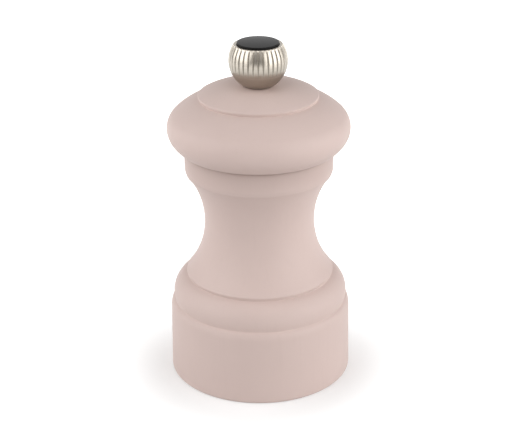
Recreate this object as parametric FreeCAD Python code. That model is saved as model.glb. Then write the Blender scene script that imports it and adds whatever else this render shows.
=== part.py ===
import FreeCAD, Part
import math
import os

# Small table pepper mill: turned body and head, a fluted steel knob and a steel grinding mechanism.
# Millimetres, +Z up, origin at the centre of the foot, set to a medium grind.

# Turned body, from the foot up: each moulding has its own height and its own step in from the one below
foot_radius = 26.8
foot_edge = 0.8
drum_taper = 0.5
drum_height = 23.0
drum_step = 0.85
drum_flat = 0.1
ovolo_reach = 3.25
ovolo_height = 7.1
ovolo_bulge = 1.3
fillet_taper = 0.15
fillet_height = 0.9
cove_foot_edge = 0.25
cove_lower_height = 15.9
waist_radius = 15.95
cove_upper_height = 15.0
cove_top_radius = 20.9
collar_swell = 0.5
collar_round_height = 2.2
collar_height = 7.25
rim_edge = 0.35
hopper_radius = 11.25
recess_depth = 6.0
bore_chamfer = 0.5

# Turned head
head_lip_overhang = 0.2
head_belly_swell = 4.6
head_belly_height = 6.5
belly_lower_round = 6.3
belly_lower_turn = math.radians(31)
belly_upper_round = 5.8
belly_upper_turn = math.radians(49)
head_shoulder_width = 8.9
head_step_height = 15.45
dome_fillet_height = 0.9
dome_edge_inset = 0.15
dome_edge = 0.35
dome_rise = 2.4
knob_land = 3.5
tenon_length = 8.5
tenon_ledge = 1.75
tenon_clearance = 0.15
tenon_floor_gap = 0.5

# Fluted knob and its inlay
knob_radius = 8.4
knob_foot_radius = 4.05
knob_rim_width = 0.93
knob_rim_edge = 0.25
knob_roof = 1.5
flute_count = 36
flute_round = 0.42
flute_depth = 0.13
flute_drop = 0.42
flute_upper_angle = 44
flute_lower_angle = -30
inlay_radius = 6.0
inlay_recess = 1.1
inlay_thickness = 0.55
inlay_crown = 0.3
inlay_clearance = 0.03

# Spindle: a square rod with a threaded top and a round journal
spindle_flats = 4.6
spindle_corner = 0.4
spindle_fit = 0.05
spindle_hole_clearance = 0.25
drive_fit = 0.12
thread_relief = 0.3
thread_length = 17.0
thread_chamfer = 0.5
thread_clearance = 0.05
thread_end_gap = 0.6
square_end_gap = 2.4
journal_relief = 0.4
journal_fit = 0.1
journal_below_bar = 2.2

# Grind setting: turning the knob raises the spindle for a finer grind or lowers it for a coarser one
finer_travel = 0.7
coarser_travel = 1.05
travel_clearance = 0.25

# Grinding ring
ring_ledge = 2.75
ring_height = 10.0
ring_seat_clearance = 0.1
ring_throat_radius = 8.9
ring_throat_height = 5.0
ring_flare = 1.5
ring_mouth_wall = 2.9
ring_tooth_count = 36
ring_groove_count = 12
ring_groove_depth = 0.9
ring_lug_width = 3.0
ring_lug_reach = 1.6
ring_lug_height = 4.0
burr_tooth_depth = 0.45
burr_twist = math.radians(16)
burr_gap = 0.35

# Grinding cone and its clip
cone_tooth_count = 30
cone_grind_height = 4.2
cone_ridge_count = 6
cone_ridge_depth = 1.3
cone_ridge_height = 6.0
cone_ridge_twist = math.radians(75)
cone_hub_margin = 0.35
cone_hub_height = 0.8
clip_pocket_depth = 2.0
clip_groove = 0.4
clip_width = 1.9
clip_thickness = 0.8
clip_gap = 2.2
clip_fit = 0.05
clip_room = 0.5

# Bridge, washer and spring above the cone
strip_thickness = 0.8
strip_margin = 0.75
bridge_foot_inset = 0.3
bridge_leg_clearance = 0.4
washer_thickness = 0.5
washer_width = 2.0
spring_wire = 0.7
spring_clearance = 0.65
spring_turn_count = 4.5
spring_length = 7.4

# Bottom bar, drive plate and their screws
bar_land = 5.9
bar_thickness = 1.2
bar_width = 8.0
bar_end_clearance = 0.4
bar_screw_shank = 1.15
bar_screw_length = 9.0
bar_screw_head = 2.1
bar_screw_head_height = 1.3
plate_margin = 2.25
plate_thickness = 1.2
plate_screw_shank = 0.9
plate_screw_length = 6.0
plate_screw_head = 1.7
plate_screw_head_height = 0.9
screw_fit = 0.05
screw_slot_width = 0.6
screw_slot_depth = 0.5
screw_crown = 0.35

# Radii that follow
drum_top_radius = foot_radius - drum_taper
drum_edge = drum_step - drum_flat
ovolo_foot_radius = drum_top_radius - drum_step
ovolo_top_radius = ovolo_foot_radius - ovolo_reach
cove_foot_radius = ovolo_top_radius - fillet_taper
collar_radius = cove_top_radius + collar_swell
head_lip_radius = collar_radius + head_lip_overhang
head_belly_radius = head_lip_radius + head_belly_swell
head_step_radius = head_belly_radius - head_shoulder_width
socket_radius = hopper_radius + tenon_ledge
tenon_radius = socket_radius - tenon_clearance
ring_radius = hopper_radius + ring_ledge
seat_radius = ring_radius + ring_seat_clearance
recess_radius = seat_radius + bar_land
ring_foot_radius = ring_throat_radius + ring_flare
ring_mouth_radius = ring_radius - ring_mouth_wall
spindle_half = spindle_flats / 2
spindle_reach = math.hypot(spindle_half, spindle_half - spindle_corner)
spindle_hole = spindle_reach + spindle_hole_clearance
thread_radius = spindle_half - thread_relief
journal_radius = spindle_half - journal_relief
clip_inner_radius = journal_radius - clip_groove + clip_fit
spring_radius = spindle_reach + spring_clearance + spring_wire / 2
cone_hub_radius = spring_radius + spring_wire / 2 + cone_hub_margin
knob_rim_radius = inlay_radius + knob_rim_width
plate_radius = hopper_radius - plate_margin
bar_screw_offset = (seat_radius + recess_radius) / 2
plate_screw_offset = (spindle_reach + plate_radius) / 2

# Levels that follow, from the foot up
ring_foot = recess_depth
bar_foot = ring_foot - bar_thickness
journal_foot = bar_foot - journal_below_bar
ring_throat = ring_foot + ring_throat_height
ring_top = ring_foot + ring_height
shoulder = ring_top + strip_thickness
cone_foot = ring_foot + coarser_travel + travel_clearance
clip_top = cone_foot + clip_pocket_depth
clip_foot = clip_top - clip_thickness
cone_grind_top = cone_foot + cone_grind_height
cone_hub_foot = cone_grind_top + cone_ridge_height
cone_top = cone_hub_foot + cone_hub_height
washer_foot = cone_top + spring_length
bridge_roof = washer_foot + washer_thickness
bridge_top = bridge_roof + strip_thickness
ovolo_top = drum_height + ovolo_height
cove_foot = ovolo_top + fillet_height
waist_level = cove_foot + cove_lower_height
cove_top = waist_level + cove_upper_height
seam_level = cove_top + collar_height
tenon_foot = seam_level - tenon_length
plate_foot = tenon_foot - plate_thickness
socket_floor = tenon_foot - tenon_floor_gap
head_belly = seam_level + head_belly_height
head_step = seam_level + head_step_height
dome_foot = head_step + dome_fillet_height
knob_foot = dome_foot + dome_rise
knob_centre = knob_foot + math.sqrt(knob_radius**2 - knob_foot_radius**2)
knob_top = knob_centre + math.sqrt(knob_radius**2 - knob_rim_radius**2)
inlay_foot = knob_top - inlay_recess
thread_hole_top = inlay_foot - knob_roof
thread_top = thread_hole_top - thread_end_gap - finer_travel
thread_foot = thread_top - thread_length

# Shares that shape a saw tooth: how far along its pitch the tooth turns back
STEEP_FIRST = 0.25
STEEP_LAST = 0.75
LOFT_STEPS = 3
RIDGE_LOFT_STEPS = 6

ORIGIN = FreeCAD.Vector(0, 0, 0)
UP = FreeCAD.Vector(0, 0, 1)
SIDEWAYS = FreeCAD.Vector(0, 1, 0)
FULL_TURN = 2 * math.pi
QUARTER_TURN = FULL_TURN / 4
TOLERANCE = 1e-6
GAP_POINTS_PER_TURN = 48


def at(radius, height):
    """A point of a turned outline, in the plane through the axis."""
    return FreeCAD.Vector(radius, 0, height)


def line(start, end):
    return Part.LineSegment(at(*start), at(*end)).toShape()


def lines(points):
    """Straight edges from each point to the next."""
    return [line(a, b) for a, b in zip(points, points[1:])]


def arc_bulging(start, end, bulge):
    """An arc that swells by a given height to the right of the way from start to end."""
    across = end[0] - start[0]
    rise = end[1] - start[1]
    chord = math.hypot(across, rise)
    middle_radius = (start[0] + end[0]) / 2 + rise / chord * bulge
    middle_height = (start[1] + end[1]) / 2 - across / chord * bulge
    return Part.Arc(at(*start), at(middle_radius, middle_height), at(*end)).toShape()


def arc_leaving(start, heading, end):
    """An arc that leaves its start along a heading and runs to its end."""
    across = end[0] - start[0]
    rise = end[1] - start[1]
    bend = math.atan2(rise, across) - heading
    return arc_bulging(start, end, math.hypot(across, rise) / 2 * math.tan(bend / 2))


def turned(edges):
    """A solid turned about the axis from a closed outline."""
    return Part.Face(Part.Wire(edges)).revolve(ORIGIN, UP, 360)


def eased(solid, size, radius, height):
    """The turned solid with the sharp hoop at a radius and height rounded over."""
    hoops = []
    for edge in solid.Edges:
        if not isinstance(edge.Curve, Part.Circle):
            continue
        off_radius = abs(edge.Curve.Radius - radius)
        off_height = abs(edge.Curve.Center.z - height)
        if max(off_radius, off_height) < TOLERANCE:
            hoops.append(edge)
    return solid.makeFillet(size, hoops)


def cylinder(radius, foot, top, x=0, y=0):
    return Part.makeCylinder(radius, top - foot, FreeCAD.Vector(x, y, foot), UP)


def block(half_x, half_y, foot, top):
    """A box centred on the axis."""
    return Part.makeBox(2 * half_x, 2 * half_y, top - foot, FreeCAD.Vector(-half_x, -half_y, foot))


def square_bar(half, foot, top):
    """A square bar on the axis with its long corners taken off."""
    bar = block(half, half, foot, top)
    uprights = [edge for edge in bar.Edges if edge.BoundBox.ZLength > top - foot - TOLERANCE]
    return bar.makeChamfer(spindle_corner, uprights)


def toothed_outline(count, tip, root, lean, height, turn):
    """A closed saw-toothed outline at one height."""
    points = []
    for tooth in range(count):
        for radius, share in ((root, 0), (tip, lean)):
            angle = turn + FULL_TURN * (tooth + share) / count
            points.append(FreeCAD.Vector(radius * math.cos(angle), radius * math.sin(angle), height))
    return Part.makePolygon(points + points[:1])


def helical_teeth(count, depth, lean, foot, top, twist, steps):
    """Teeth that wind between two levels: foot and top give the tip radius and height of each end.

    A negative depth makes the outline of teeth that point inwards.
    """
    outlines = []
    for step in range(steps + 1):
        share = step / steps
        tip = foot[0] + (top[0] - foot[0]) * share
        height = foot[1] + (top[1] - foot[1]) * share
        outlines.append(toothed_outline(count, tip, tip - depth, lean, height, twist * share))
    return Part.makeLoft(outlines, True, True)


def arc_between_legs(start, knee, end):
    """The arc that touches the legs from its start to a knee and from the knee to its end."""
    middle = (start + end) * 0.5
    half_chord = (end - start).Length / 2
    drop = (knee - middle).Length
    sagitta = half_chord * (math.hypot(half_chord, drop) - half_chord) / drop
    through = middle + (knee - middle).normalize() * sagitta
    return Part.Arc(start, through, end).toShape()


def biarc(start, start_way, end, end_way):
    """Two arcs with a common tangent, from one point and direction to another."""
    chord = end - start
    along = chord.dot(start_way + end_way)
    turn = 2 * (1 - start_way.dot(end_way))
    reach = (math.sqrt(along**2 + turn * chord.dot(chord)) - along) / turn
    knee = start + start_way * reach
    far_knee = end - end_way * reach
    joint = (knee + far_knee) * 0.5
    return [arc_between_legs(start, knee, joint), arc_between_legs(joint, far_knee, end)]


def screw_pointing_up(shank, length, head, head_height, seat):
    """A slotted round-head screw on the axis, with its head under a seat."""
    head_foot = seat - head_height
    tip = seat + length
    outline = lines(
        [
            (0, head_foot),
            (0, tip),
            (shank, tip - shank),
            (shank, seat),
            (head, seat),
            (head, head_foot + screw_crown),
        ]
    )
    outline.append(arc_leaving((0, head_foot), 0, (head, head_foot + screw_crown)))
    slot = block(head, screw_slot_width / 2, head_foot, head_foot + screw_slot_depth)
    return turned(outline).cut(slot)


def make_mill_body():
    """The turned body, bored through for the corns, with the mechanism's seat in its foot."""
    collar_round_top = cove_top + collar_round_height
    outline = lines([(recess_radius, 0), (foot_radius, 0), (drum_top_radius, drum_height)])
    outline += lines([(drum_top_radius, drum_height), (ovolo_foot_radius, drum_height)])
    outline.append(arc_bulging((ovolo_foot_radius, drum_height), (ovolo_top_radius, ovolo_top), ovolo_bulge))
    outline += lines([(ovolo_top_radius, ovolo_top), (cove_foot_radius, cove_foot)])
    waist = (waist_radius, waist_level)
    collar_foot = (cove_top_radius, cove_top)
    outline.append(arc_leaving(waist, -QUARTER_TURN, (cove_foot_radius, cove_foot)))
    outline.append(arc_leaving(waist, QUARTER_TURN, collar_foot))
    outline.append(arc_leaving((collar_radius, collar_round_top), -QUARTER_TURN, collar_foot))
    outline += lines(
        [
            (collar_radius, collar_round_top),
            (collar_radius, seam_level),
            (socket_radius + bore_chamfer, seam_level),
            (socket_radius, seam_level - bore_chamfer),
            (socket_radius, socket_floor),
            (hopper_radius, socket_floor),
            (hopper_radius, shoulder),
            (seat_radius, shoulder),
            (seat_radius, recess_depth),
            (recess_radius, recess_depth),
            (recess_radius, 0),
        ]
    )
    body = turned(outline)
    body = eased(body, foot_edge, foot_radius, 0)
    body = eased(body, drum_edge, drum_top_radius, drum_height)
    body = eased(body, cove_foot_edge, cove_foot_radius, cove_foot)
    body = eased(body, rim_edge, collar_radius, seam_level)
    cuts = [
        block(
            ring_lug_width / 2 + ring_seat_clearance,
            ring_radius + ring_lug_reach + ring_seat_clearance,
            recess_depth,
            ring_foot + ring_lug_height + ring_seat_clearance,
        )
    ]
    for x in (-bar_screw_offset, bar_screw_offset):
        cuts.append(cylinder(bar_screw_shank + screw_fit, recess_depth, recess_depth + bar_screw_length, x))
    return body.cut(cuts)


def make_grinding_ring():
    """The fixed burr: fine teeth below its throat, coarse grooves above, and two lugs against turning."""
    ring = cylinder(ring_radius, ring_foot, ring_top)
    lugs = block(ring_lug_width / 2, ring_radius + ring_lug_reach, ring_foot, ring_foot + ring_lug_height)
    throat = (ring_throat_radius, ring_throat)
    grind = helical_teeth(
        ring_tooth_count,
        -burr_tooth_depth,
        STEEP_FIRST,
        (ring_foot_radius, ring_foot),
        throat,
        burr_twist,
        LOFT_STEPS,
    )
    feed = helical_teeth(
        ring_groove_count,
        -ring_groove_depth,
        STEEP_FIRST,
        throat,
        (ring_mouth_radius, ring_top),
        -burr_twist,
        LOFT_STEPS,
    )
    return ring.fuse(lugs).cut([grind, feed]).removeSplitter()


def make_grinding_cone():
    """The turning burr: fine teeth that face the ring's, and steep ridges above that crack the corns."""
    slope = ring_flare / ring_throat_height
    foot_tip = ring_foot_radius - slope * (cone_foot - ring_foot) - burr_gap
    top_tip = foot_tip - slope * cone_grind_height
    grind = helical_teeth(
        cone_tooth_count,
        burr_tooth_depth,
        STEEP_LAST,
        (foot_tip, cone_foot),
        (top_tip, cone_grind_top),
        -burr_twist,
        LOFT_STEPS,
    )
    crack = helical_teeth(
        cone_ridge_count,
        cone_ridge_depth,
        STEEP_LAST,
        (top_tip - burr_tooth_depth, cone_grind_top),
        (cone_hub_radius + cone_ridge_depth, cone_hub_foot),
        cone_ridge_twist,
        RIDGE_LOFT_STEPS,
    )
    hub = cylinder(cone_hub_radius, cone_grind_top, cone_top)
    socket = square_bar(spindle_half + spindle_fit, clip_top, cone_top)
    clip_pocket = cylinder(clip_inner_radius + clip_width + clip_room, cone_foot, clip_top)
    return grind.fuse([crack, hub]).cut([socket, clip_pocket]).removeSplitter()


def make_cone_clip():
    """The open ring that snaps into the neck under the spindle's square and carries the cone."""
    outer = clip_inner_radius + clip_width
    ring = cylinder(outer, clip_foot, clip_top).cut(cylinder(clip_inner_radius, clip_foot, clip_top))
    gap = Part.makeBox(outer, clip_gap, clip_thickness, FreeCAD.Vector(0, -clip_gap / 2, clip_foot))
    return ring.cut(gap)


def make_spindle():
    """The square rod, turned down to a thread at its top and to a journal at its foot."""
    square = square_bar(spindle_half, clip_top, thread_foot)
    neck = cylinder(journal_radius - clip_groove, clip_foot, clip_top)
    journal = cylinder(journal_radius, journal_foot, clip_foot)
    thread = turned(
        lines(
            [
                (0, thread_foot),
                (thread_radius, thread_foot),
                (thread_radius, thread_top - thread_chamfer),
                (thread_radius - thread_chamfer, thread_top),
                (0, thread_top),
                (0, thread_foot),
            ]
        )
    )
    return square.fuse([neck, journal, thread]).removeSplitter()


def make_spindle_bridge():
    """The bent strip that spans the hopper, guides the spindle and takes the spring's push."""
    half_width = spindle_hole + strip_margin
    leg = math.sqrt((hopper_radius - bridge_leg_clearance) ** 2 - half_width**2)
    leg_inside = leg - strip_thickness
    foot_end = math.sqrt((ring_radius - bridge_foot_inset) ** 2 - half_width**2)
    right = [
        (leg, bridge_top),
        (leg, shoulder),
        (foot_end, shoulder),
        (foot_end, ring_top),
        (leg_inside, ring_top),
        (leg_inside, bridge_roof),
    ]
    left = [(-across, height) for across, height in reversed(right)]
    side = Part.Face(Part.Wire(lines(right + left + right[:1])))
    strip = side.extrude(SIDEWAYS * (2 * half_width)).translated(SIDEWAYS * -half_width)
    bends = []
    for edge in strip.Edges:
        runs_sideways = edge.BoundBox.YLength > 2 * half_width - TOLERANCE
        if runs_sideways and abs(edge.CenterOfMass.z - bridge_top) < TOLERANCE:
            bends.append(edge)
    strip = strip.makeFillet(strip_thickness, bends)
    return strip.cut(cylinder(spindle_hole, bridge_roof, bridge_top))


def make_spring_washer():
    """The flat washer under the bridge that the spring turns against."""
    outer = cylinder(spindle_hole + washer_width, washer_foot, bridge_roof)
    return outer.cut(cylinder(spindle_hole, washer_foot, bridge_roof))


def make_grind_spring():
    """The coil that presses the cone down onto its clip."""
    quarters = round(spring_turn_count * FULL_TURN / QUARTER_TURN)
    coil_turn = quarters * QUARTER_TURN
    coil_foot = cone_top + spring_wire / 2
    climb = (spring_length - spring_wire) / coil_turn

    def point(turn):
        height = coil_foot + climb * turn
        return FreeCAD.Vector(spring_radius * math.cos(turn), spring_radius * math.sin(turn), height)

    def way(turn):
        across = FreeCAD.Vector(-spring_radius * math.sin(turn), spring_radius * math.cos(turn), climb)
        return across.normalize()

    edges = []
    for quarter in range(quarters):
        start = quarter * QUARTER_TURN
        end = start + QUARTER_TURN
        edges += biarc(point(start), way(start), point(end), way(end))
    path = Part.Wire(edges)
    rim = Part.Wire(Part.makeCircle(spring_wire / 2, point(0), way(0)))
    print(f"spring: wire {path.Length:.1f} mm long, least gap to itself {least_gap(path, coil_turn):.2f} mm")
    return path.makePipeShell([rim], True, False)


def least_gap(path, coil_turn):
    """The least clear distance between stretches of the coil that are half a turn or more apart."""
    count = round(coil_turn / FULL_TURN * GAP_POINTS_PER_TURN)
    points = path.discretize(Number=count)
    apart = GAP_POINTS_PER_TURN // 2
    nearest = min((b - a).Length for n, a in enumerate(points) for b in points[n + apart :])
    return nearest - spring_wire


def make_bottom_bar():
    """The flat bar across the foot that holds the ring up and steadies the spindle's journal."""
    strip = block(recess_radius, bar_width / 2, bar_foot, ring_foot)
    bar = strip.common(cylinder(recess_radius - bar_end_clearance, bar_foot, ring_foot))
    holes = [cylinder(journal_radius + journal_fit, bar_foot, ring_foot)]
    for x in (-bar_screw_offset, bar_screw_offset):
        holes.append(cylinder(bar_screw_shank + screw_fit, bar_foot, ring_foot, x))
    return bar.cut(holes)


def make_bottom_bar_screws():
    """The two screws that hold the bar to the body."""
    length = bar_thickness + bar_screw_length - screw_fit
    screw = screw_pointing_up(bar_screw_shank, length, bar_screw_head, bar_screw_head_height, bar_foot)
    places = (FreeCAD.Vector(-bar_screw_offset, 0, 0), FreeCAD.Vector(bar_screw_offset, 0, 0))
    return Part.makeCompound([screw.translated(place) for place in places])


def make_head():
    """The turned head: a rounded belly under a stepped dome, on a tenon that sits in the body."""
    widest = (head_belly_radius, head_belly)
    lower_end = (
        head_belly_radius - belly_lower_round * (1 - math.cos(belly_lower_turn)),
        head_belly - belly_lower_round * math.sin(belly_lower_turn),
    )
    upper_end = (
        head_belly_radius - belly_upper_round * (1 - math.cos(belly_upper_turn)),
        head_belly + belly_upper_round * math.sin(belly_upper_turn),
    )
    lip = (head_lip_radius, seam_level)
    step = (head_step_radius, head_step)
    dome_rim = (head_step_radius - dome_edge_inset, dome_foot)
    land = (knob_foot_radius + knob_land, knob_foot)
    outline = [
        arc_leaving(lower_end, -QUARTER_TURN - belly_lower_turn, lip),
        arc_leaving(widest, -QUARTER_TURN, lower_end),
        arc_leaving(widest, QUARTER_TURN, upper_end),
        arc_leaving(upper_end, QUARTER_TURN + belly_upper_turn, step),
        line(step, dome_rim),
        arc_leaving(land, 0, dome_rim),
    ]
    thread_hole = thread_radius + spindle_hole_clearance
    hole_step = thread_foot + square_end_gap
    outline += lines(
        [
            land,
            (thread_hole, knob_foot),
            (thread_hole, hole_step),
            (spindle_hole, hole_step),
            (spindle_hole, tenon_foot),
            (tenon_radius - bore_chamfer, tenon_foot),
            (tenon_radius, tenon_foot + bore_chamfer),
            (tenon_radius, seam_level),
            lip,
        ]
    )
    head = turned(outline)
    head = eased(head, dome_edge, *dome_rim)
    head = eased(head, rim_edge, *lip)
    pilots = []
    for y in (-plate_screw_offset, plate_screw_offset):
        pilot_top = tenon_foot + plate_screw_length
        pilots.append(cylinder(plate_screw_shank + screw_fit, tenon_foot, pilot_top, y=y))
    return head.cut(pilots)


def make_drive_plate():
    """The plate under the tenon whose square hole turns the spindle."""
    holes = [square_bar(spindle_half + drive_fit, plate_foot, tenon_foot)]
    for y in (-plate_screw_offset, plate_screw_offset):
        holes.append(cylinder(plate_screw_shank + screw_fit, plate_foot, tenon_foot, y=y))
    return cylinder(plate_radius, plate_foot, tenon_foot).cut(holes)


def make_drive_plate_screws():
    """The two screws that hold the drive plate to the tenon."""
    length = plate_thickness + plate_screw_length - screw_fit
    screw = screw_pointing_up(
        plate_screw_shank, length, plate_screw_head, plate_screw_head_height, plate_foot
    )
    places = (FreeCAD.Vector(0, -plate_screw_offset, 0), FreeCAD.Vector(0, plate_screw_offset, 0))
    return Part.makeCompound([screw.translated(place) for place in places])


def make_adjusting_knob():
    """The steel ball, cut flat above and below, with upright flutes that fade out under its waist."""
    waist = (knob_radius, knob_centre)
    thread_hole = thread_radius + thread_clearance
    outline = [
        arc_leaving(waist, -QUARTER_TURN, (knob_foot_radius, knob_foot)),
        arc_leaving(waist, QUARTER_TURN, (knob_rim_radius, knob_top)),
    ]
    outline += lines(
        [
            (knob_rim_radius, knob_top),
            (inlay_radius, knob_top),
            (inlay_radius, inlay_foot),
            (0, inlay_foot),
            (0, thread_hole_top),
            (thread_hole, thread_hole_top),
            (thread_hole, knob_foot),
            (knob_foot_radius, knob_foot),
        ]
    )
    ball = eased(turned(outline), knob_rim_edge, knob_rim_radius, knob_top)
    flute = flute_cutter()
    return ball.cut([flute.rotated(ORIGIN, UP, 360 * n / flute_count) for n in range(flute_count)])


def flute_cutter():
    """A round bar bent to an arc that dips into the ball above its waist and leaves it below."""
    centre = FreeCAD.Vector(0, 0, knob_centre - flute_drop)
    start = FreeCAD.Vector(knob_radius - flute_depth + flute_round, 0, 0)
    section = Part.Face(Part.Wire(Part.makeCircle(flute_round, centre + start, UP)))
    section.rotate(centre, SIDEWAYS, -flute_lower_angle)
    return section.revolve(centre, SIDEWAYS, flute_lower_angle - flute_upper_angle)


def make_knob_inlay():
    """The crowned dark disc in the top of the knob."""
    edge = (inlay_radius - inlay_clearance, inlay_foot + inlay_thickness)
    crown = (0, inlay_foot + inlay_thickness + inlay_crown)
    outline = lines([crown, (0, inlay_foot), (edge[0], inlay_foot), edge])
    outline.append(arc_leaving(crown, 0, edge))
    return turned(outline)


PIECES = {
    "mill_body": make_mill_body,
    "grinding_ring": make_grinding_ring,
    "spindle_bridge": make_spindle_bridge,
    "bottom_bar": make_bottom_bar,
    "bottom_bar_screws": make_bottom_bar_screws,
    "spring_washer": make_spring_washer,
    "grind_spring": make_grind_spring,
    "spindle": make_spindle,
    "grinding_cone": make_grinding_cone,
    "cone_clip": make_cone_clip,
    "head": make_head,
    "drive_plate": make_drive_plate,
    "drive_plate_screws": make_drive_plate_screws,
    "adjusting_knob": make_adjusting_knob,
    "knob_inlay": make_knob_inlay,
}


def main():
    os.makedirs("parts", exist_ok=True)
    for name, make in PIECES.items():
        shape = make()
        print(f"{name}: {len(shape.Solids)} solids, {shape.Volume:.1f} mm3, valid {shape.isValid()}")
        shape.exportStep(os.path.join("parts", f"{name}.step"))


main()
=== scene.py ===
import math

import bmesh
import bpy
from mathutils import Matrix, Vector


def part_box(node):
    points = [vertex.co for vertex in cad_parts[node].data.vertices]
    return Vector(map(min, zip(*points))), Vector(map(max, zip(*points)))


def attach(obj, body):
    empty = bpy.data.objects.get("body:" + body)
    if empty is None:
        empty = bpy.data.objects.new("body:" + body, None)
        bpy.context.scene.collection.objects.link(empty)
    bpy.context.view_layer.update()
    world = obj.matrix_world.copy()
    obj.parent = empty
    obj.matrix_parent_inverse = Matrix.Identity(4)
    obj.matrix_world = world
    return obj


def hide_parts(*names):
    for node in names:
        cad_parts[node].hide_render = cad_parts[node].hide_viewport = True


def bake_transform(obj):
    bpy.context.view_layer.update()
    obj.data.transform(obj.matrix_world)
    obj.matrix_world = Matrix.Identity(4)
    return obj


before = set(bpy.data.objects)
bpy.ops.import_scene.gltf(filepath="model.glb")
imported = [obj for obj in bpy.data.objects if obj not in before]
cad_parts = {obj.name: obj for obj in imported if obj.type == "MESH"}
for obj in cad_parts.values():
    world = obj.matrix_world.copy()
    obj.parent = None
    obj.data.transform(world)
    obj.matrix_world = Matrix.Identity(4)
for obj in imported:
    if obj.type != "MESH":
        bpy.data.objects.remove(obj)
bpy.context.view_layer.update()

MM = 0.001
QUARTER_TURN = math.pi / 2
FULL_TURN = 2 * math.pi

# Sizes in millimetres, as the turned outlines are drawn
SEAM_MM = 69.75
SOCKET_MOUTH_MM = 13.5
KNOB_FOOT_MM = 87.9
KNOB_CENTRE_MM = 95.259
KNOB_RADIUS_MM = 8.4
KNOB_WELL_FLOOR_MM = 98.906

# Sizes in metres, as the materials and the small metal pieces take them
SEAM = SEAM_MM * MM
SOCKET_MOUTH = SOCKET_MOUTH_MM * MM
KNOB_CENTRE = KNOB_CENTRE_MM * MM
KNOB_RADIUS = KNOB_RADIUS_MM * MM
RECESS_RADIUS = 20.0 * MM
RECESS_TOP = 6.0 * MM
THREAD_LENGTH = 17.0 * MM
THREAD_PITCH = 0.7 * MM

# Sides of the hoops that turned shapes are made of
TURNED_SIDES = 192
DISC_SIDES = 120


# Shader nodes


def feed(tree, socket, value):
    """Link a socket to another one, or set it to a constant."""
    if isinstance(value, bpy.types.NodeSocket):
        tree.links.new(value, socket)
    else:
        socket.default_value = value


def put(tree, kind, inputs=None, **settings):
    """A new shader node: inputs take a socket to link or a constant."""
    made = tree.nodes.new(kind)
    for name, value in settings.items():
        setattr(made, name, value)
    for name, value in (inputs or {}).items():
        feed(tree, made.inputs[name], value)
    return made


def maths(tree, operation, a, b=0.0, c=0.0):
    return put(tree, "ShaderNodeMath", {0: a, 1: b, 2: c}, operation=operation).outputs[0]


def vectors(tree, operation, a, b=(0, 0, 0)):
    """A new vector node's result, which is a number where the operation measures."""
    made = put(tree, "ShaderNodeVectorMath", {0: a, 1: b}, operation=operation)
    measures = operation in ("LENGTH", "DISTANCE", "DOT_PRODUCT")
    return made.outputs["Value" if measures else "Vector"]


def blended(tree, share, a, b):
    """Colour a where share is 0 and b where it is 1."""
    return put(tree, "ShaderNodeMix", {0: share, 6: a, 7: b}, data_type="RGBA").outputs[2]


def ranged(tree, value, low, high, out_low=0.0, out_high=1.0, smooth=False):
    """A value taken from one range to another and held at its ends."""
    names = {
        "Value": value,
        "From Min": low,
        "From Max": high,
        "To Min": out_low,
        "To Max": out_high,
    }
    kind = "SMOOTHSTEP" if smooth else "LINEAR"
    return put(tree, "ShaderNodeMapRange", names, interpolation_type=kind).outputs[0]


def between(tree, value, low, high, soft):
    """1 between two levels, with soft edges."""
    rise = ranged(tree, value, low - soft, low + soft)
    fall = ranged(tree, value, high - soft, high + soft)
    return maths(tree, "MULTIPLY", rise, maths(tree, "SUBTRACT", 1.0, fall))


def noise(tree, place, scale, detail=2.0, roughness=0.5, stretch=None):
    """Noise in metres: scale is in cells to the metre, and stretch draws it out along an axis."""
    if stretch:
        place = vectors(tree, "MULTIPLY", place, stretch)
    names = {"Vector": place, "Scale": scale, "Detail": detail, "Roughness": roughness}
    return put(tree, "ShaderNodeTexNoise", names).outputs["Fac"]


def colour(red, green, blue):
    return (red, green, blue, 1.0)


def cylindrical(tree, place):
    """Distance from the mill's axis, and height."""
    radius = vectors(tree, "LENGTH", vectors(tree, "MULTIPLY", place, (1, 1, 0)))
    height = put(tree, "ShaderNodeSeparateXYZ", {0: place}).outputs["Z"]
    return radius, height


def bumped(tree, shader, height, strength, distance):
    names = {"Height": height, "Strength": strength, "Distance": distance}
    feed(tree, shader.inputs["Normal"], put(tree, "ShaderNodeBump", names).outputs[0])


def rays_that_see(tree):
    """1 on the rays that show a surface to the camera, directly or in a reflection."""
    path = put(tree, "ShaderNodeLightPath").outputs
    seen = maths(tree, "MAXIMUM", path["Is Camera Ray"], path["Is Glossy Ray"])
    return maths(tree, "MAXIMUM", seen, path["Is Transmission Ray"])


# Materials


def new_material(name):
    made = bpy.data.materials.new(name)
    made.use_nodes = True
    tree = made.node_tree
    shader = tree.nodes["Principled BSDF"]
    place = put(tree, "ShaderNodeTexCoord").outputs["Object"]
    return made, tree, shader, place


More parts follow.
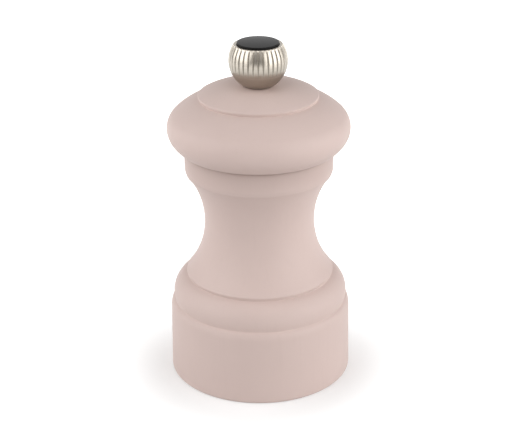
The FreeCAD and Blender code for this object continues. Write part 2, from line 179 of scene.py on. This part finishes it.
def beech(tree, place):
    """Bare turned beech: rings about a far pith, fibres along the grain and short dark flecks."""
    early_wood, late_wood = colour(0.55, 0.36, 0.2), colour(0.64, 0.45, 0.27)
    fibre_shade, fleck_shade = colour(0.5, 0.31, 0.17), colour(0.24, 0.12, 0.06)
    pith = (0.052, 0.031, 0)
    ring_rate, ring_sway = 2600.0, 7.0
    across = vectors(tree, "MULTIPLY", vectors(tree, "ADD", place, pith), (1, 1, 0))
    reach = vectors(tree, "LENGTH", across)
    sway = noise(tree, place, scale=60, stretch=(1, 1, 0.25))
    phase = maths(tree, "MULTIPLY_ADD", reach, ring_rate, maths(tree, "MULTIPLY", sway, ring_sway))
    ring = ranged(tree, maths(tree, "SINE", phase), -1, 1)
    fibre = noise(tree, place, scale=2600, detail=3, roughness=0.6, stretch=(1, 1, 0.035))
    fleck = noise(tree, place, scale=1500, detail=1, stretch=(1, 1, 0.22))
    fleck = ranged(tree, fleck, 0.62, 0.72)
    base = blended(tree, ring, early_wood, late_wood)
    base = blended(tree, ranged(tree, fibre, 0.3, 0.7), base, fibre_shade)
    base = blended(tree, maths(tree, "MULTIPLY", fleck, 0.65), base, fleck_shade)
    return base, fibre


def lacquered_wood(name, bare_share):
    """Matte pink lacquer over turned beech, with the wood left bare where bare_share says.

    The collar's colour is darkened towards the seam: painted shade for the shadow of the head's
    lip.
    """
    deep_pink, pale_pink = colour(0.632, 0.502, 0.464), colour(0.65, 0.518, 0.478)
    grain_shade, painted_seam_shade = colour(0.575, 0.45, 0.412), colour(0.38, 0.29, 0.262)
    collar_foot, collar_top = SEAM - 7.8 * MM, SEAM + 0.2 * MM
    bare_dullness = 0.24
    made, tree, shader, place = new_material(name)
    radius, height = cylindrical(tree, place)
    bare = bare_share(tree, place, radius, height)
    wood, fibre = beech(tree, place)
    cloud = noise(tree, place, scale=55, detail=3, roughness=0.55)
    peel = noise(tree, place, scale=1900)
    grain = noise(tree, place, scale=1100, stretch=(1, 1, 0.06))
    pink = blended(tree, ranged(tree, cloud, 0.3, 0.7), deep_pink, pale_pink)
    pink = blended(tree, ranged(tree, grain, 0.55, 0.8, 0, 0.16), pink, grain_shade)
    # Painted shade: the collar's colour darkens towards the seam, under the head's lip.
    painted_shade_ramp = ranged(tree, height, SEAM - 8 * MM, SEAM, 0.05, 0.52)
    collar = between(tree, height, collar_foot, collar_top, soft=0.1 * MM)
    pink = blended(tree, maths(tree, "MULTIPLY", painted_shade_ramp, collar), pink, painted_seam_shade)
    feed(tree, shader.inputs["Base Color"], blended(tree, bare, pink, wood))
    satin = ranged(tree, peel, 0.3, 0.7, 0.44, 0.52)
    rough = maths(tree, "MULTIPLY_ADD", bare, bare_dullness, satin)
    feed(tree, shader.inputs["Roughness"], rough)
    relief = maths(tree, "MULTIPLY_ADD", grain, 0.5, peel)
    relief = maths(tree, "MULTIPLY_ADD", maths(tree, "MULTIPLY", bare, fibre), 3.0, relief)
    bumped(tree, shader, relief, strength=0.06, distance=0.02 * MM)
    shader.inputs["Specular IOR Level"].default_value = 0.2
    return made


def ragged_radius(tree, place, radius):
    """Distance from the axis, made uneven for the edges where the lacquer was sprayed over."""
    unevenness = 1.6 * MM
    ragged = noise(tree, place, scale=420, detail=3, roughness=0.6)
    ragged = maths(tree, "MULTIPLY", ragged, unevenness)
    return maths(tree, "ADD", radius, maths(tree, "SUBTRACT", ragged, unevenness / 2))


def bare_in_body(tree, place, radius, height):
    """Bare in the bores and the recess, on the foot's face and on most of the rim."""
    seat_radius, seat_top = 16.0 * MM, 20.0 * MM
    foot_edge = (25.3 * MM, 24.9 * MM)
    rim_edge = (20.1 * MM, 19.7 * MM)
    edge = ragged_radius(tree, place, radius)
    share = ranged(tree, radius, SOCKET_MOUTH + 0.1 * MM, SOCKET_MOUTH + 0.05 * MM)
    seat = between(tree, radius, 0, seat_radius, soft=0.05 * MM)
    recess = ranged(tree, radius, RECESS_RADIUS + 0.06 * MM, RECESS_RADIUS + 0.03 * MM)
    foot = ranged(tree, edge, *foot_edge)
    rim = ranged(tree, edge, *rim_edge)
    for part, level, full_level in (
        (seat, seat_top, seat_top - 0.1 * MM),
        (recess, RECESS_TOP + 0.1 * MM, RECESS_TOP + 0.05 * MM),
        (foot, 0.06 * MM, 0.03 * MM),
        (rim, SEAM - 0.06 * MM, SEAM - 0.03 * MM),
    ):
        part = maths(tree, "MULTIPLY", part, ranged(tree, height, level, full_level))
        share = maths(tree, "MAXIMUM", share, part)
    return share


def bare_in_head(tree, place, radius, height):
    """Bare on the tenon, in the bore and on most of the face that sits on the body."""
    face_edge = (20.4 * MM, 20.0 * MM)
    bore_edge = (3.4 * MM, 3.35 * MM)
    edge = ragged_radius(tree, place, radius)
    tenon = ranged(tree, height, SEAM - 0.02 * MM, SEAM - 0.04 * MM)
    near_seam = ranged(tree, height, SEAM + 0.04 * MM, SEAM + 0.02 * MM)
    face = maths(tree, "MULTIPLY", ranged(tree, edge, *face_edge), near_seam)
    bore = ranged(tree, radius, *bore_edge)
    return maths(tree, "MAXIMUM", maths(tree, "MAXIMUM", tenon, face), bore)


def metal(name, base, rough, stretch, tint=None, relief=0.03, dull=0.0):
    """Metal with fine drawn or turned lines, clouded brightness and a varied polish."""
    spread = 0.06
    dark = tuple(part * 0.82 for part in base)
    made, tree, shader, place = new_material(name)
    lines = noise(tree, place, scale=900, detail=3, roughness=0.6, stretch=stretch)
    cloud = noise(tree, place, scale=220, detail=3, roughness=0.55)
    shade = blended(tree, ranged(tree, lines, 0.3, 0.7), colour(*dark), colour(*base))
    tinted = ranged(tree, cloud, 0.45, 0.75, 0, 0.35)
    shade = blended(tree, tinted, shade, colour(*(tint or dark)))
    feed(tree, shader.inputs["Base Color"], shade)
    polish = ranged(tree, lines, 0.25, 0.75, rough - spread, rough + spread)
    polish = maths(tree, "MULTIPLY_ADD", cloud, dull, polish)
    feed(tree, shader.inputs["Roughness"], polish)
    bumped(tree, shader, lines, strength=relief, distance=0.03 * MM)
    shader.inputs["Metallic"].default_value = 1.0
    return made


def knob_metal(name):
    """Satin turned steel of a warm cast, with rings left by the lathe and painted shade in the
    grooves.
    """
    dark_steel, bright_steel = colour(0.4, 0.365, 0.315), colour(0.48, 0.44, 0.385)
    warm_tint, painted_groove_shade = colour(0.4, 0.36, 0.3), colour(0.13, 0.115, 0.095)
    flute_foot, flute_top = 88.4 * MM, 99.6 * MM
    made, tree, shader, place = new_material(name)
    radius, height = cylindrical(tree, place)
    profile = put(tree, "ShaderNodeCombineXYZ", {"X": radius, "Z": height}).outputs[0]
    rings = noise(tree, profile, scale=5200, roughness=0.6)
    cloud = noise(tree, place, scale=400, detail=3)
    shade = blended(tree, ranged(tree, rings, 0.3, 0.7), dark_steel, bright_steel)
    shade = blended(tree, ranged(tree, cloud, 0.4, 0.75, 0, 0.25), shade, warm_tint)
    # Painted shade: the flute grooves are coloured darker than the ribs.
    out = vectors(tree, "DISTANCE", place, (0, 0, KNOB_CENTRE))
    groove = ranged(tree, out, KNOB_RADIUS - 0.03 * MM, KNOB_RADIUS - 0.14 * MM)
    fluted = between(tree, height, flute_foot, flute_top, soft=0.1 * MM)
    groove = maths(tree, "MULTIPLY", groove, fluted)
    shade = blended(tree, maths(tree, "MULTIPLY", groove, 0.8), shade, painted_groove_shade)
    feed(tree, shader.inputs["Base Color"], shade)
    feed(tree, shader.inputs["Roughness"], ranged(tree, rings, 0.25, 0.75, 0.26, 0.34))
    bumped(tree, shader, rings, strength=0.04, distance=0.02 * MM)
    shader.inputs["Metallic"].default_value = 1.0
    return made


def inlay_gloss(name):
    """Glossy near-black enamel with faint turned rings and a little dust in the coat."""
    dark_enamel, pale_enamel = colour(0.008, 0.0075, 0.008), colour(0.016, 0.015, 0.015)
    dust_shade = colour(0.05, 0.048, 0.045)
    made, tree, shader, place = new_material(name)
    radius = cylindrical(tree, place)[0]
    outward = put(tree, "ShaderNodeCombineXYZ", {"X": radius}).outputs[0]
    rings = noise(tree, outward, scale=2400)
    dust = noise(tree, place, scale=2600, roughness=0.6)
    shade = blended(tree, ranged(tree, rings, 0.3, 0.7), dark_enamel, pale_enamel)
    shade = blended(tree, ranged(tree, dust, 0.7, 0.8, 0, 0.5), shade, dust_shade)
    feed(tree, shader.inputs["Base Color"], shade)
    feed(tree, shader.inputs["Roughness"], ranged(tree, dust, 0.3, 0.75, 0.08, 0.2))
    bumped(tree, shader, rings, strength=0.05, distance=0.02 * MM)
    shader.inputs["Specular IOR Level"].default_value = 0.06
    return made


# Meshes


def new_piece(name, points, faces, material, slot, smooth_angle):
    """A smooth-shaded object, with edges kept sharp beyond an angle in degrees."""
    mesh = bpy.data.meshes.new(name)
    mesh.from_pydata(points, [], faces)
    mesh.update()
    work = bmesh.new()
    work.from_mesh(mesh)
    bmesh.ops.recalc_face_normals(work, faces=work.faces)
    work.to_mesh(mesh)
    work.free()
    made = bpy.data.objects.new(name, mesh)
    bpy.context.scene.collection.objects.link(made)
    for polygon in mesh.polygons:
        polygon.use_smooth = True
    mesh.set_sharp_from_angle(angle=math.radians(smooth_angle))
    mesh.materials.append(material)
    return made


def bridged(rings):
    """Quads between rings of equal length, with a fan over each end."""
    points = [point for ring in rings for point in ring]
    size = len(rings[0])
    faces = []
    for level in range(len(rings) - 1):
        for n in range(size):
            a = level * size + n
            b = level * size + (n + 1) % size
            faces.append((a, b, b + size, a + size))
    for first, ring in ((0, rings[0]), ((len(rings) - 1) * size, rings[-1])):
        middle = sum((Vector(p) for p in ring), Vector()) / size
        points.append(tuple(middle))
        for n in range(size):
            faces.append((first + n, first + (n + 1) % size, len(points) - 1))
    return points, faces


# Outlines: runs of (radius, height) points, in millimetres


def straight(start, end):
    """Points along a line, closer near its ends so that its shading stays even."""
    shares = (0, 0.02, 0.1, 0.5, 0.9, 0.98, 1)
    return [tuple(Vector(start).lerp(Vector(end), share)) for share in shares]


def swelling(start, end, bulge):
    """Points along an arc that swells to the right of the way from start to end."""
    steps = 26
    chord = Vector(end) - Vector(start)
    side = Vector((chord.y, -chord.x)).normalized()
    radius = (chord.length_squared / 4 + bulge**2) / (2 * bulge)
    centre = (Vector(start) + Vector(end)) / 2 + side * (bulge - radius)
    sweep = 4 * math.atan(2 * bulge / chord.length)
    spoke = Vector(start) - centre
    turns = [Matrix.Rotation(sweep * n / steps, 2) for n in range(steps + 1)]
    return [tuple(centre + turn @ spoke) for turn in turns]


def leaving(start, heading, end):
    """Points along an arc that leaves its start along a heading, in degrees."""
    chord = Vector(end) - Vector(start)
    bend = math.atan2(chord.y, chord.x) - math.radians(heading)
    return swelling(start, end, chord.length / 2 * math.tan(bend / 2))


def shoulder(foot, top):
    """Points along a quarter ellipse that rises straight from its foot and is level at its top."""
    steps = 18
    points = []
    for n in range(steps + 1):
        turn = QUARTER_TURN * n / steps
        radius = top[0] + (foot[0] - top[0]) * math.cos(turn)
        height = foot[1] + (top[1] - foot[1]) * math.sin(turn)
        points.append((radius, height))
    return points


def shortened(points, length):
    """The points with a length taken off their end."""
    points = [Vector(p) for p in points]
    while (points[-1] - points[-2]).length < length:
        length -= (points[-1] - points[-2]).length
        points.pop()
    points[-1] = points[-1] + (points[-2] - points[-1]).normalized() * length
    return points


def joined(first, rounding, second):
    """Two runs of points with the corner between them rounded over."""
    if rounding == 0:
        return list(first) + list(second[1:])
    steps = 6
    way_in = (Vector(first[-1]) - Vector(first[-2])).normalized()
    way_out = (Vector(second[1]) - Vector(second[0])).normalized()
    turn = math.acos(max(-1.0, min(1.0, way_in.dot(way_out))))
    cut = rounding * math.tan(turn / 2)
    run_in = shortened(first, cut)
    run_out = shortened(second[::-1], cut)[::-1]
    way_in = (run_in[-1] - run_in[-2]).normalized()
    way_out = (run_out[1] - run_out[0]).normalized()
    handle = 4 / 3 * math.tan(turn / 4) * rounding
    a, d = run_in[-1], run_out[0]
    b, c = a + way_in * handle, d - way_out * handle
    bend = []
    for n in range(1, steps):
        t = n / steps
        s = 1 - t
        bend.append(s**3 * a + 3 * s**2 * t * b + 3 * s * t**2 * c + t**3 * d)
    return [tuple(p) for p in run_in + bend + run_out]


def chained(outline, *runs):
    """A run of points with others joined on, each after the radius of its first corner."""
    for rounding, run in runs:
        outline = joined(outline, rounding, run)
    return outline


def hoop(radius, height, count):
    """A level ring of points in metres, from a place on an outline."""
    turns = [FULL_TURN * n / count for n in range(count)]
    return [(radius * math.cos(a) * MM, radius * math.sin(a) * MM, height * MM) for a in turns]


# Pieces


def turned_over(name, node, outside, outline, material, slot, body):
    """The inner faces of a CAD node under a newly turned outside.

    The faces that outside picks by their middles, in millimetres, make way for the outline.
    """
    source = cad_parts[node]
    work = bmesh.new()
    work.from_mesh(source.data)
    work.transform(source.matrix_world)
    bmesh.ops.remove_doubles(work, verts=work.verts, dist=0.001 * MM)
    gone = [face for face in work.faces if outside(face.calc_center_median() / MM)]
    bmesh.ops.delete(work, geom=gone, context="FACES")
    rims = [edge for edge in work.edges if edge.is_boundary]
    middle = (outline[0][1] + outline[-1][1]) / 2 * MM
    rows = []
    for place in outline:
        rows.append([work.verts.new(point) for point in hoop(*place, TURNED_SIDES)])
    for low, high in zip(rows, rows[1:]):
        for n in range(TURNED_SIDES):
            m = (n + 1) % TURNED_SIDES
            work.faces.new((low[n], low[m], high[m], high[n]))
    for row, place in ((rows[0], outline[0]), (rows[-1], outline[-1])):
        upper = place[1] * MM > middle
        ring = [work.edges.get((a, b)) for a, b in zip(row, row[1:] + row[:1])]
        rim = [edge for edge in rims if (edge.verts[0].co.z > middle) == upper]
        bmesh.ops.bridge_loops(work, edges=ring + rim)
    work.verts.ensure_lookup_table()
    work.verts.index_update()
    points = [tuple(vert.co) for vert in work.verts]
    faces = [[vert.index for vert in face.verts] for face in work.faces]
    work.free()
    made = new_piece(name, points, faces, material, slot, smooth_angle=35)
    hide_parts(node)
    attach(made, body)


def make_body(material):
    """The body with its finer outline: rounded drum shoulder, ovolo, fillet, cove and collar."""
    recess_edge = (20.3, 0)
    drum_foot = (26.8, 0)
    wall_top = (26.49, 19.7)
    ovolo_foot = (25.2, 22.4)
    ovolo_top = (21.3, 30.4)
    ovolo_bulge = 1.85
    cove_foot = (21.68, 31.37)
    waist = (16.0, 47.12)
    collar_foot = (20.8, 62.0)
    collar_ledge = (21.02, 62.04)
    collar_round = (21.45, 63.97)
    rim = (21.45, SEAM_MM)
    mouth = (SOCKET_MOUTH_MM, SEAM_MM)
    socket = (13.0, 69.25)
    outline = chained(
        straight(recess_edge, drum_foot),
        (0.8, straight(drum_foot, wall_top)),
        (0, shoulder(wall_top, ovolo_foot)),
        (0.3, swelling(ovolo_foot, ovolo_top, ovolo_bulge)),
        (0.2, straight(ovolo_top, cove_foot)),
        (0.35, leaving(waist, -90, cove_foot)[::-1]),
        (0, leaving(waist, 90, collar_foot)),
        (0.08, straight(collar_foot, collar_ledge)),
        (0.08, leaving(collar_round, -90, collar_ledge)[::-1]),
        (0, straight(collar_round, rim)),
        (1.3, straight(rim, mouth)),
        (0, [mouth, socket]),
    )
    seat_height, recess_wall, socket_wall = 20, 20.02, 13.02

    def outside(place):
        return place.xy.length > (recess_wall if place.z < seat_height else socket_wall)

    turned_over(
        "mill_body_turned", "mill_body", outside, outline, material, "lacquered_wood", "mill"
    )


def make_head(material):
    """The head with its finer outline: overhanging lip, belly, shoulder, step and dome."""
    tenon = (12.85, SEAM_MM)
    lip = (22.85, SEAM_MM)
    widest = (26.25, 75.7)
    step = (16.95, 84.32)
    dome_rim = (17.3, 85.2)
    land = (7.55, KNOB_FOOT_MM)
    bore = (2.6, KNOB_FOOT_MM)
    lower_round, lower_turn = 6.25, 40
    upper_round, upper_turn = 5.7, 47
    lower_sweep = math.radians(lower_turn)
    upper_sweep = math.radians(upper_turn)
    lower_end = (
        widest[0] - lower_round * (1 - math.cos(lower_sweep)),
        widest[1] - lower_round * math.sin(lower_sweep),
    )
    upper_end = (
        widest[0] - upper_round * (1 - math.cos(upper_sweep)),
        widest[1] + upper_round * math.sin(upper_sweep),
    )
    outline = chained(
        straight(tenon, lip),
        (0.35, leaving(lower_end, -90 - lower_turn, lip)[::-1]),
        (0, leaving(widest, -90, lower_end)[::-1]),
        (0, leaving(widest, 90, upper_end)),
        (0, leaving(upper_end, 90 + upper_turn, step)),
        (0.12, straight(step, dome_rim)),
        (0.42, leaving(land, 0, dome_rim)[::-1]),
        (0, straight(land, bore)),
    )
    face_height, bore_wall = 69.14, 3.3

    def outside(place):
        return place.z > face_height and place.xy.length > bore_wall

    turned_over("head_turned", "head", outside, outline, material, "lacquered_wood", "head")


def make_knob(material):
    """The steel ball with upright flutes that are deepest above its waist and fade out below it."""
    side = (KNOB_RADIUS_MM, KNOB_CENTRE_MM)
    foot = (4.05, KNOB_FOOT_MM)
    rim = (6.93, 100.006)
    well = (6.0, rim[1])
    well_foot = (well[0], KNOB_WELL_FLOOR_MM)
    bore, bore_top = 2.05, 97.406
    outline = chained(
        straight((bore, foot[1]), foot),
        (0, leaving(side, -90, foot)[::-1]),
        (0, leaving(side, 90, rim)),
        (0.25, straight(rim, well)),
        (0.25, straight(well, well_foot)),
    )
    flutes, flute_round, flute_depth = 36, 0.27, 0.24
    deepest, fade = math.radians(15), math.radians(37)
    offset = flute_depth / (1 - math.cos(fade))
    bend = Vector((-offset * math.cos(deepest), KNOB_CENTRE_MM - offset * math.sin(deepest)))
    reach = KNOB_RADIUS_MM + offset * math.cos(fade) + flute_round
    samples = 14
    count = flutes * samples
    ball_edge = well[0] + 0.2

    def fluted(place):
        """A hoop of the ball, pressed in where a flute crosses it."""
        radius, height = place
        out = Vector((radius, height - KNOB_CENTRE_MM))
        ring = []
        for n in range(count):
            angle = FULL_TURN * n / count
            from_flute = ((n + samples // 2) % samples - samples // 2) * FULL_TURN / count
            across = radius * math.sin(from_flute)
            forward = radius * math.cos(from_flute)
            depth = 0.0
            if radius > ball_edge and abs(across) < flute_round:
                clear = reach - (Vector((forward, height)) - bend).length
                depth = max(0.0, math.sqrt(flute_round**2 - across**2) - clear)
            inner = radius - depth * out.x / out.length
            level = height - depth * out.y / out.length
            ring.append((inner * math.cos(angle) * MM, inner * math.sin(angle) * MM, level * MM))
        return ring

    rings = [hoop(bore, bore_top, count)] + [fluted(place) for place in outline]
    shape = bridged(rings)
    made = new_piece("adjusting_knob_fluted", *shape, material, "knob_steel", smooth_angle=40)
    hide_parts("adjusting_knob")
    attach(made, "knob")


def make_disc(material):
    """The crowned disc in the top of the knob."""
    crown = (0.3, 100.77)
    edge = (5.97, 100.55)
    middle = (crown[0], KNOB_WELL_FLOOR_MM)
    foot = (edge[0], KNOB_WELL_FLOOR_MM)
    outline = chained(
        straight(middle, foot),
        (0.05, straight(foot, edge)),
        (0.16, leaving(crown, 0, edge)[::-1]),
    )
    shape = bridged([hoop(*place, DISC_SIDES) for place in outline])
    made = new_piece("knob_inlay_disc", *shape, material, "inlay", smooth_angle=40)
    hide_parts("knob_inlay")
    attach(made, "knob")


def make_spring(material):
    """A coil with closed ends between the cone and the washer."""
    low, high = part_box("grind_spring")
    wire = 0.35 * MM
    coil = high.x - wire
    end_turns = 1.0
    active_turns = 4.5
    turns = active_turns + 2 * end_turns
    foot = low.z + wire
    top = high.z - wire
    end_pitch = 2.06 * wire
    active_pitch = (top - foot - 2 * end_turns * end_pitch) / active_turns
    steps_per_turn = 64
    around = 14

    def height(turn):
        if turn < end_turns:
            return foot + turn * end_pitch
        if turn > end_turns + active_turns:
            return top - (turns - turn) * end_pitch
        return foot + end_turns * end_pitch + (turn - end_turns) * active_pitch

    count = round(turns * steps_per_turn)
    rings = []
    for n in range(count + 1):
        turn = turns * n / count
        angle = turn * FULL_TURN
        ring = []
        for k in range(around):
            tilt = FULL_TURN * k / around
            reach = coil + wire * math.cos(tilt)
            level = height(turn) + wire * math.sin(tilt)
            ring.append((reach * math.cos(angle), reach * math.sin(angle), level))
        rings.append(ring)
    shape = bridged(rings)
    made = new_piece("grind_spring_coil", *shape, material, "spring_steel", smooth_angle=50)
    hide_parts("grind_spring")
    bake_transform(made)


def make_spindle(material):
    """The square rod with a cut thread at its top, a neck for the clip and a journal."""
    low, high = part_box("spindle")
    clip_low, clip_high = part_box("cone_clip")
    half = high.x
    corner = 0.4 * MM
    bevel = 0.15 * MM
    journal = half - 0.4 * MM
    journal_chamfer = 0.3 * MM
    neck = journal - 0.4 * MM
    thread_foot = high.z - THREAD_LENGTH
    thread_fade = 1.5 * THREAD_PITCH
    thread_chamfer = 0.5 * MM
    crest = half - 0.3 * MM
    depth = 0.42 * MM
    crest_flat, flank = 0.12, 0.68
    rows_per_pitch = 10
    flat_steps, corner_steps = 18, 4
    diagonal = 1.414
    flat_turn = math.atan2(half - corner, half)
    corner_turn = QUARTER_TURN - 2 * flat_turn
    angles = []
    for quarter in range(4):
        middle = quarter * math.pi / 2
        for n in range(flat_steps):
            angles.append(middle - flat_turn + 2 * flat_turn * n / flat_steps)
        for n in range(corner_steps):
            angles.append(middle + flat_turn + corner_turn * n / corner_steps)

    def ring_at(level, reach):
        return [(reach(a) * math.cos(a), reach(a) * math.sin(a), level) for a in angles]

    def circle(level, radius):
        return ring_at(level, lambda angle: radius)

    def square(level, shrink=0.0):
        def reach(angle):
            c, s = abs(math.cos(angle)), abs(math.sin(angle))
            flat = (half - shrink) / max(c, s)
            return min(flat, (2 * half - corner - diagonal * shrink) / (c + s))

        return ring_at(level, reach)

    def threaded(level):
        fade = min(1.0, max(0.0, (level - thread_foot) / thread_fade))

        def reach(angle):
            share = (level / THREAD_PITCH - angle / FULL_TURN) % 1.0
            slope = abs(2 * share - 1)
            groove = min(1.0, max(0.0, (slope - crest_flat) / flank))
            return min(crest - depth * groove * fade, crest - thread_chamfer + (high.z - level))

        return ring_at(level, reach)

    rings = [
        circle(low.z, journal - journal_chamfer),
        circle(low.z + journal_chamfer, journal),
        circle(clip_low.z, journal),
        circle(clip_low.z, neck),
        circle(clip_high.z, neck),
        square(clip_high.z, bevel),
        square(clip_high.z + bevel),
        square(thread_foot - bevel),
        square(thread_foot, bevel),
    ]
    rows = round(THREAD_LENGTH / THREAD_PITCH * rows_per_pitch)
    rings += [threaded(thread_foot + THREAD_LENGTH * n / rows) for n in range(rows + 1)]
    shape = bridged(rings)
    made = new_piece("spindle_rod", *shape, material, "spindle_aluminium", smooth_angle=30)
    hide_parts("spindle")
    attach(made, "spindle")


# Studio


def make_floor():
    """A pale floor that shows white to the camera and keeps the mill's soft shadow, with painted
    shade around the foot where its white lift is weaker.
    """
    reach = 4.0
    painted_shade_offset = (1.5 * MM, 8 * MM, 0)
    painted_shade_edge = (24 * MM, 46 * MM)
    far_edge = (80 * MM, 300 * MM)
    corners = [(-reach, -reach, 0), (reach, -reach, 0), (reach, reach, 0), (-reach, reach, 0)]
    mesh = bpy.data.meshes.new("floor")
    mesh.from_pydata(corners, [], [(0, 1, 2, 3)])
    floor = bpy.data.objects.new("floor", mesh)
    bpy.context.scene.collection.objects.link(floor)
    made = bpy.data.materials.new("floor_white")
    made.use_nodes = True
    tree = made.node_tree
    tree.nodes.clear()
    out = put(tree, "ShaderNodeOutputMaterial")
    paper = put(tree, "ShaderNodeBsdfDiffuse", {"Color": colour(0.75, 0.75, 0.75)})
    seen = rays_that_see(tree)
    place = put(tree, "ShaderNodeTexCoord").outputs["Object"]
    away = vectors(tree, "LENGTH", vectors(tree, "ADD", place, painted_shade_offset))
    # Painted shade: the white lift is weaker near the mill's foot and off to one side, darkening
    # the floor there on top of its real shadow.
    glow = ranged(tree, away, *painted_shade_edge, 0.27, 0.6, smooth=True)
    glow = maths(tree, "ADD", glow, ranged(tree, away, *far_edge, 0, 0.4))
    lift = put(tree, "ShaderNodeEmission", {"Strength": maths(tree, "MULTIPLY", seen, glow)})
    both = put(tree, "ShaderNodeAddShader", {0: paper.outputs[0], 1: lift.outputs[0]})
    feed(tree, out.inputs["Surface"], both.outputs[0])
    mesh.materials.append(made)


def make_world():
    """A white room that is darker behind the camera and gives a low, even light."""
    white, dim_end, fill = colour(1, 1, 1), colour(0.3, 0.29, 0.28), colour(0.15, 0.15, 0.15)
    world = bpy.data.worlds.new("studio")
    bpy.context.scene.world = world
    world.use_nodes = True
    tree = world.node_tree
    tree.nodes.clear()
    out = put(tree, "ShaderNodeOutputWorld")
    way = put(tree, "ShaderNodeTexCoord").outputs["Generated"]
    front = vectors(tree, "DOT_PRODUCT", way, (0, -1, 0))
    dim = ranged(tree, front, 0.55, 0.95, 0, 1, smooth=True)
    room = blended(tree, dim, white, dim_end)
    light = blended(tree, rays_that_see(tree), fill, room)
    sky = put(tree, "ShaderNodeBackground", {"Color": light, "Strength": 1.0})
    feed(tree, out.inputs["Surface"], sky.outputs[0])


def make_softbox(name, place, width, height, power):
    """A rectangular lamp turned to the middle of the mill."""
    target = (0, 0, 0.05)
    light = bpy.data.lights.new(name, "AREA")
    light.shape = "RECTANGLE"
    light.size = width
    light.size_y = height
    light.energy = power
    lamp = bpy.data.objects.new(name, light)
    bpy.context.scene.collection.objects.link(lamp)
    lamp.location = place
    lamp.rotation_euler = (Vector(target) - Vector(place)).to_track_quat("-Z", "Y").to_euler()


def make_camera():
    """The camera that was fitted to the photo's outline."""
    place = Matrix.Translation((0.00017, -0.3896, 0.2176))
    tilt = Matrix.Rotation(math.radians(66.47), 4, "X")
    roll = Matrix.Rotation(math.radians(-0.46), 4, "Z")
    data = bpy.data.cameras.new("camera")
    data.sensor_width = 36.0
    data.sensor_fit = "HORIZONTAL"
    data.lens = 100.42
    data.clip_start = 0.01
    camera = bpy.data.objects.new("camera", data)
    bpy.context.scene.collection.objects.link(camera)
    camera.matrix_world = place @ tilt @ roll
    bpy.context.scene.camera = camera


body_lacquer = lacquered_wood("body_lacquer", bare_in_body)
head_lacquer = lacquered_wood("head_lacquer", bare_in_head)
knob_steel = knob_metal("knob_steel")
enamel = inlay_gloss("inlay_gloss")
burr = metal("burr_steel", (0.34, 0.34, 0.35), 0.36, (1, 1, 0.2), (0.2, 0.19, 0.19), dull=0.12)
sheet = metal("sheet_zinc", (0.56, 0.56, 0.55), 0.34, (0.06, 1, 1), (0.5, 0.5, 0.52), dull=0.1)
wire = metal("spring_wire", (0.5, 0.5, 0.5), 0.28, (1, 1, 0.3), (0.42, 0.4, 0.38))
screw = metal("screw_zinc", (0.6, 0.6, 0.58), 0.3, (1, 0.1, 1), (0.52, 0.53, 0.56), dull=0.1)
rod = metal("rod_aluminium", (0.78, 0.78, 0.77), 0.3, (1, 1, 0.04), relief=0.05)
for material, nodes in (
    (body_lacquer, ("mill_body",)),
    (head_lacquer, ("head",)),
    (knob_steel, ("adjusting_knob",)),
    (enamel, ("knob_inlay",)),
    (burr, ("grinding_ring", "grinding_cone")),
    (sheet, ("spindle_bridge", "bottom_bar", "drive_plate", "spring_washer")),
    (screw, ("bottom_bar_screws", "drive_plate_screws")),
    (wire, ("cone_clip",)),
):
    for node in nodes:
        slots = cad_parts[node].data.materials
        slots.clear()
        slots.append(material)

make_body(body_lacquer)
make_head(head_lacquer)
make_knob(knob_steel)
make_disc(enamel)
make_spring(wire)
make_spindle(rod)

make_floor()
make_world()
make_softbox("softbox_right", (0.680, -0.296, 0.350), width=1.3, height=0.75, power=7.4)
make_softbox("softbox_left", (-0.687, -0.165, 0.426), width=1.3, height=0.75, power=6.6)
make_softbox("softbox_top", (0.000, -0.070, 0.847), width=0.5, height=0.5, power=0.5)
make_camera()
bpy.context.scene.view_settings.view_transform = "Standard"
